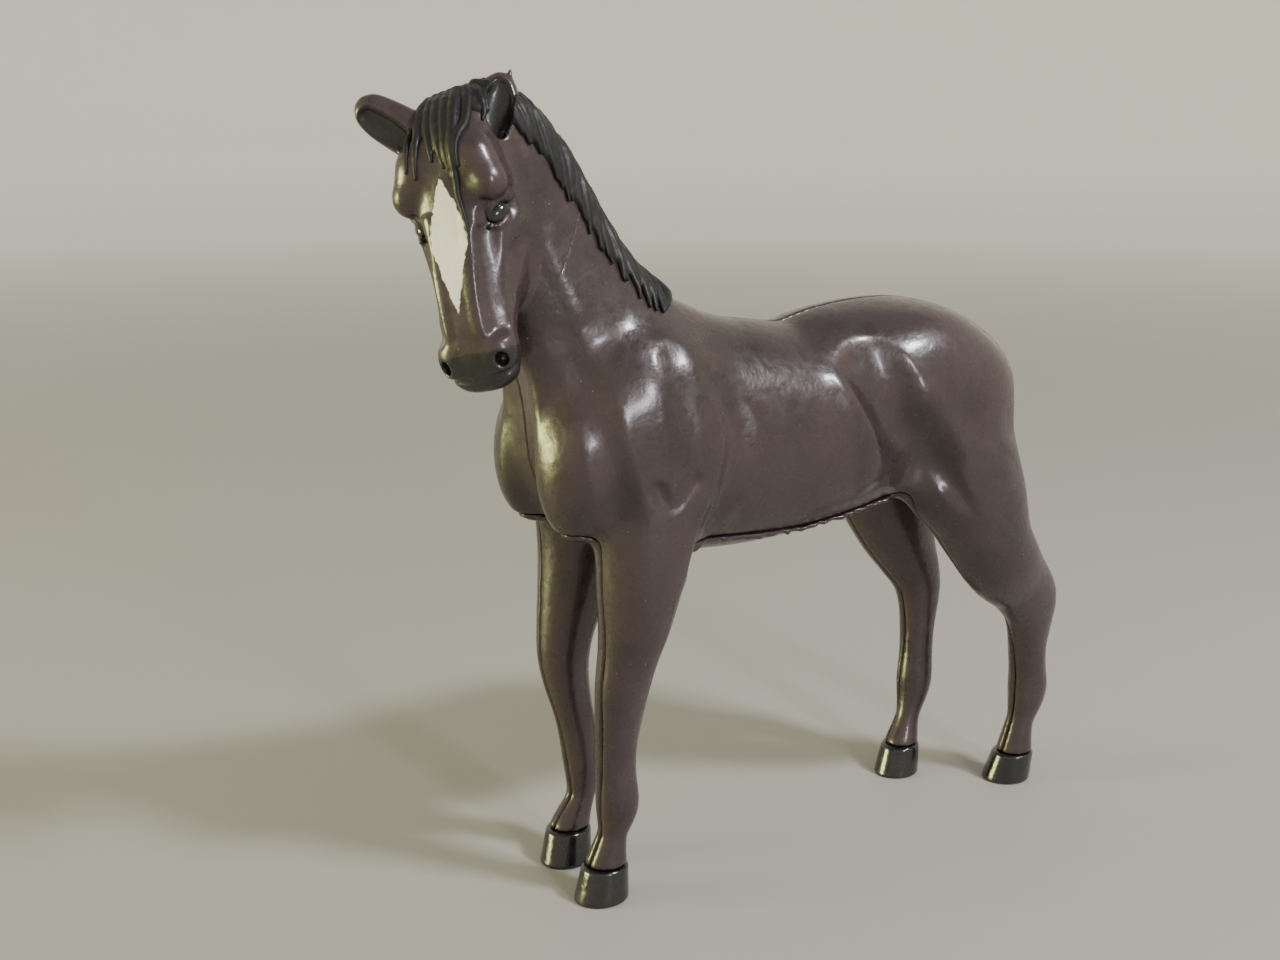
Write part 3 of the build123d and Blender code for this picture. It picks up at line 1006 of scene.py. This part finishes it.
def mane_locks(field):
    """Locks that fall from the crest down its left side, and short ones on its right."""
    chance = np.random.default_rng(HAIR_SEED)
    locks = []
    for share in np.linspace(0.0, MANE_END, MANE_LOCKS):
        reach = chance.uniform(*MANE_REACH)
        back = chance.uniform(*MANE_BACK)
        width = chance.uniform(*MANE_WIDTH)
        *start, (side, drop) = LEFT_FALL
        left = [*start, (side * reach, drop * reach)]
        *start, (side, drop) = RIGHT_FALL
        right = [*start, (side * reach, drop)]
        for fall, wide in ((left, width), (right, width * RIGHT_WIDTH)):
            path = [beside_crest(share + back * step, *place) for step, place in enumerate(fall)]
            locks.append(lock(field, path, wide))
    return locks


def make_mane(paint):
    field = Field(MANE_LOW, MANE_HIGH, FINE_STEP)
    sculpt(field)
    side, drop, *half = MANE_COVER
    cover = [(*beside_crest(share, side, drop), *half)
             for share in np.linspace(0.0, MANE_COVER_END, MANE_COVER_STATIONS)]
    shape = Field(MANE_LOW, MANE_HIGH, FINE_STEP)
    shape.add(Limb(cover, steps=2))
    shape.values = np.maximum(field.values - HAIR_BASE, shape.values)
    for strand in mane_locks(field):
        shape.add(strand, MANE_BLEND)
    clear_of_ears(shape)
    values = smooth_max(shape.values, -field.values - MANE_DEPTH, HAIR_LAP)
    make_piece("mane_form", shape, values, paint, "mane")


# Forelock locks in the head's own directions: ((side, forward, up) places, width)
FORELOCK = [
    ([(1.0, -4.5, 6), (2.2, 2.5, 4.0), (3.1, 7.0, 0.6), (3.4, 9.0, -3.5), (3.0, 9.8, -8.5)], 1.25),
    ([(2.2, -4.5, 6), (3.7, 2.0, 3.6), (4.5, 5.8, 0.6), (4.5, 7.8, -2.6), (4.3, 8.6, -5.0)], 1.15),
    ([(0.2, -4.5, 6), (0.9, 2.6, 4.2), (1.6, 7.0, 1.2), (2.0, 8.9, -2.4), (2.4, 9.6, -6.6)], 1.1),
    ([(-0.8, -4.5, 6), (-0.5, 2.6, 4.2), (0.1, 7.2, 1.2), (0.7, 9.0, -1.8), (1.3, 9.5, -5.0)], 1.05),
    ([(-1.8, -4.4, 6), (-1.7, 2.5, 4.0), (-1.4, 6.9, 1.2), (-1.0, 8.8, -1.4), (-0.7, 9.3, -3.6)], 1.0),
    ([(-2.6, -4.2, 5.8), (-3.0, 2.2, 3.8), (-3.2, 6.2, 1.4), (-3.6, 8.4, -1.4), (-4.1, 9.2, -5.6)], 1.1),
    ([(-3.4, -3.8, 5.4), (-4.2, 1.8, 3.4), (-4.8, 5.2, 1.0), (-5.2, 7.2, -1.8), (-5.4, 8.0, -4.4)], 0.95),
    ([(3.0, 9.6, -6.5), (2.9, 10.3, -10.0), (3.5, 10.8, -13.5), (3.9, 11.2, -16.8)], 0.6),
    ([(3.4, -4.0, 5.4), (4.8, 0.4, 3.0), (5.4, 3.2, 0.6)], 1.1),
    ([(-4.2, -3.4, 5.0), (-5.0, 0.6, 3.0), (-5.6, 3.6, 0.6)], 1.0),
]
# The flat hair under the locks, as head stations
FORELOCK_COVER = [(0.2, -7.0, 3.6, 5.0, 3.6), (0.4, 1.5, 2.6, 5.0, 3.8), (0.6, 5.4, 0.4, 4.4, 3.4),
                  (1.8, 7.4, -2.6, 2.4, 2.4)]
FORELOCK_BASE = HAIR_BASE * 0.7
FORELOCK_LIFT = 0.1
FORELOCK_DEPTH = 0.7
FORELOCK_BLEND = 0.3


def make_forelock(field, paint):
    """Locks that fall between the ears over the forehead."""
    shape = Field(HEAD_LOW, HEAD_HIGH, FINE_STEP)
    shape.add(head_limb(FORELOCK_COVER))
    shape.values = np.maximum(field.values - FORELOCK_BASE, shape.values)
    for places, width in FORELOCK:
        strand = lock(field, [head_point(*place) for place in places], width, FORELOCK_LIFT)
        shape.add(strand, FORELOCK_BLEND)
    clear_of_ears(shape)
    values = smooth_max(shape.values, -field.values - FORELOCK_DEPTH, HAIR_LAP)
    make_piece("forelock_form", shape, values, paint, "forelock")


TAIL = [(0, 46.5, 100.5), (0, 51.5, 97.5), (0, 55.0, 90), (0, 56.6, 78), (0, 56.2, 66), (0, 55.6, 55)]
TAIL_HALF = [1.3, 2.4, 3.0, 3.1, 2.6, 0.9]  # half width at each of those places
TAIL_LOW, TAIL_HIGH = (-6.5, 42.0, 50.0), (6.5, 63.0, 104.0)
TAIL_CORE = (0.75, 0.7)  # the core's size, of the tail's
TAIL_LOCKS = 9
TAIL_LOCK_WIDTH = 0.42  # of the tail's half width
TAIL_LOCK_OUT = 0.62
TAIL_FLAT = 0.75  # front to back, of side to side
TAIL_TWIST = 0.25  # most that a lock turns per step, in radians
TAIL_BLEND = 0.25


def tail_lock(start, twist):
    """A lock round the core, from its starting angle and its twist per step."""
    stations = []
    for step, (place, half) in enumerate(zip(TAIL, TAIL_HALF)):
        angle = start + twist * step
        offset = np.array([math.cos(angle) * half, math.sin(angle) * half * TAIL_FLAT, 0]) * TAIL_LOCK_OUT
        wide = TAIL_LOCK_WIDTH * half
        stations.append((*(np.array(place) + offset), wide, wide))
    return Limb(stations)


def make_tail(paint):
    """A moulded tail that hangs against the buttocks."""
    shape = Field(TAIL_LOW, TAIL_HIGH, FINE_STEP)
    chance = np.random.default_rng(HAIR_SEED)
    wide, deep = TAIL_CORE
    shape.add(Limb([(*place, half * wide, half * deep) for place, half in zip(TAIL, TAIL_HALF)]))
    for index in range(TAIL_LOCKS):
        twist = chance.uniform(-TAIL_TWIST, TAIL_TWIST)
        shape.add(tail_lock(2 * math.pi * index / TAIL_LOCKS, twist), TAIL_BLEND)
    make_piece("tail_form", shape, shape.values, paint, "tail")


# ---- hooves

# Middle of the top edge and of the sole as (X, Y), and half width at each
HOOVES = {
    "left_fore_hoof": ((8.4, -42.3), (8.8, -43.4), (4.1, 4.8)),
    "right_fore_hoof": ((-9, -40.8), (-8, -42.0), (4.1, 4.7)),
    "left_hind_hoof": ((8.5, 61.3), (7.7, 60.2), (4.1, 4.8)),
    "right_hind_hoof": ((-7.5, 42.6), (-7.0, 41.2), (3.9, 4.5)),
}
HOOF_ROOM = 9  # the grid reaches this far round a hoof
HOOF_BELOW, HOOF_ABOVE = -1.5, HOOF_TOP + 2.5
HOOF_OVER = 0.4  # the wall is made longer by this share at both ends, then cut
HOOF_LONGER = (0.3, 0.6)  # front to back, more than side to side: at the top and at the sole
HOOF_GAP = 0.12  # open line between hoof and leg


def make_hoof(name, top, sole, half, paint):
    """A hoof: rounded wall that widens to a flat sole."""
    top, sole = np.array(top, float), np.array(sole, float)
    field = Field((*(sole - HOOF_ROOM), HOOF_BELOW), (*(sole + HOOF_ROOM), HOOF_ABOVE), FINE_STEP)
    lean = (sole - top) * HOOF_OVER
    start = np.array((*(top - lean), HOOF_TOP * (1 + HOOF_OVER)))
    end = np.array((*(sole + lean), -HOOF_TOP * HOOF_OVER))
    grow = (half[1] - half[0]) * HOOF_OVER
    narrow, wide = half[0] - grow, half[1] + grow
    wall = Stretch(start, end, (narrow, narrow + HOOF_LONGER[0]), (wide, wide + HOOF_LONGER[1]), ACROSS)
    field.add(wall)
    values = clipped(field.values, SOLE - field.z, hoof_region(field) + HOOF_GAP)
    make_piece(name + "_form", field, values, paint, name)


def main():
    body_paint = gloss_paint("bronze_brown_paint")
    head_paint = gloss_paint("bronze_brown_head_paint", mask=True)
    hair = hair_paint("hair_satin_black")
    make_mouldings(body_paint)
    bare_head = Field(HEAD_LOW, HEAD_HIGH, FINE_STEP)
    sculpt(bare_head)
    make_head(bare_head, head_paint)
    make_eyes(black_gloss("eye_gloss_black", 0.08))
    make_forelock(bare_head, hair)
    make_mane(hair)
    make_tail(hair)
    hoof_paint = black_gloss("hoof_gloss_black", 0.16)
    for name, (top, sole, half) in HOOVES.items():
        make_hoof(name, top, sole, half, hoof_paint)


main()


# ---- stage, light and camera

VIEW_AZIMUTH = math.radians(59.23)
VIEW_DROP = math.radians(13.76)
CAMERA_PLACE = np.array([242.3, -174.0, 146.4])
LENS, SENSOR = 43.9, 36.0

# Profile of the round backdrop: (distance from the middle, height) in metres
BACKDROP = [(0.6, 0.0), (1.4, 0.0), (1.9, 0.08), (2.2, 0.28), (2.4, 0.6), (2.45, 1.1), (2.45, 2.6)]
BACKDROP_SIDES = 64
FLOOR_COLOUR = (0.42, 0.41, 0.37, 1)
FLOOR_ROUGHNESS = 0.6
# Painted light: the far floor and wall take this lighter colour and glow with it, as if lit, though they
# are no lamp.
PAINTED_LIT_WALL_COLOUR = (0.82, 0.80, 0.72, 1)
WALL_BEGINS = (0.35, 1.9)  # where the painted light on the far floor and wall begins, and where it is full, in metres
WALL_PAINTED_GLOW = 0.27
SKY_COLOUR = (0.80, 0.79, 0.74, 1)
SKY_STRENGTH = 0.48

# Soft boxes aimed at the horse: (name, place and size in metres, power, colour)
CENTRE = (0.0, 0.0, 0.08)
LIGHTS = [
    ("key", (0.55, 0.35, 0.75), (0.13, 0.10), 7.2, (0.96, 0.94, 1.0)),
    ("side_window", (0.75, 0.02, 0.34), (0.06, 0.20), 2.0, (0.95, 0.93, 1.0)),
    ("green_fill", (-0.33, -0.80, 0.12), (0.34, 0.20), 7.5, (0.90, 0.93, 0.36)),
]


def make_camera():
    data = bpy.data.cameras.new("camera")
    data.lens = LENS
    data.sensor_width = SENSOR
    camera = add_to_scene("camera", data)
    camera.location = CAMERA_PLACE * MM + SHIFT
    camera.rotation_euler = (math.pi / 2 - VIEW_DROP, 0, VIEW_AZIMUTH)
    bpy.context.scene.camera = camera


def make_light(name, place, size, power, colour):
    data = bpy.data.lights.new(name, "AREA")
    data.shape = "RECTANGLE"
    data.size, data.size_y = size
    data.energy = power
    data.color = colour
    lamp = add_to_scene(name, data)
    lamp.location = place
    lamp.rotation_euler = (Vector(CENTRE) - Vector(place)).to_track_quat("-Z", "Y").to_euler()


def floor_paint():
    """Pale grey floor with painted light: it lightens outwards and glows a little far away, standing in for
    light on a lit wall.
    """
    n = Nodes("pale_floor")
    distance = n.add("ShaderNodeVectorMath", operation="LENGTH")
    n.link(n.place, distance.inputs[0])
    far = n.ramp(distance.outputs["Value"], *WALL_BEGINS)
    n.link(n.mix(far, FLOOR_COLOUR, PAINTED_LIT_WALL_COLOUR), n.shader.inputs["Base Color"])
    n.shader.inputs["Roughness"].default_value = FLOOR_ROUGHNESS
    n.shader.inputs["Emission Color"].default_value = PAINTED_LIT_WALL_COLOUR
    # painted glow on the far floor and wall, not a lamp
    n.link(n.math("MULTIPLY", far, WALL_PAINTED_GLOW), n.shader.inputs["Emission Strength"])
    return n.material


def make_floor():
    """A pale floor that runs up into a round wall, so no edge shows."""
    points = []
    for radius, height in BACKDROP:
        for step in range(BACKDROP_SIDES):
            angle = 2 * math.pi * step / BACKDROP_SIDES
            points.append((radius * math.cos(angle), radius * math.sin(angle), height))
    faces = [tuple(range(BACKDROP_SIDES))]
    for ring in range(len(BACKDROP) - 1):
        for step in range(BACKDROP_SIDES):
            here = ring * BACKDROP_SIDES + step
            beside = ring * BACKDROP_SIDES + (step + 1) % BACKDROP_SIDES
            faces.append((here, here + BACKDROP_SIDES, beside + BACKDROP_SIDES, beside))
    data = bpy.data.meshes.new("floor")
    data.from_pydata(points, [], faces)
    data.polygons.foreach_set("use_smooth", np.ones(len(faces), bool))
    data.materials.append(floor_paint())
    add_to_scene("floor", data)


def make_sky():
    world = bpy.data.worlds.new("world")
    world.use_nodes = True
    background = world.node_tree.nodes["Background"]
    background.inputs["Color"].default_value = SKY_COLOUR
    background.inputs["Strength"].default_value = SKY_STRENGTH
    bpy.context.scene.world = world


make_camera()
make_floor()
make_sky()
for light in LIGHTS:
    make_light(*light)
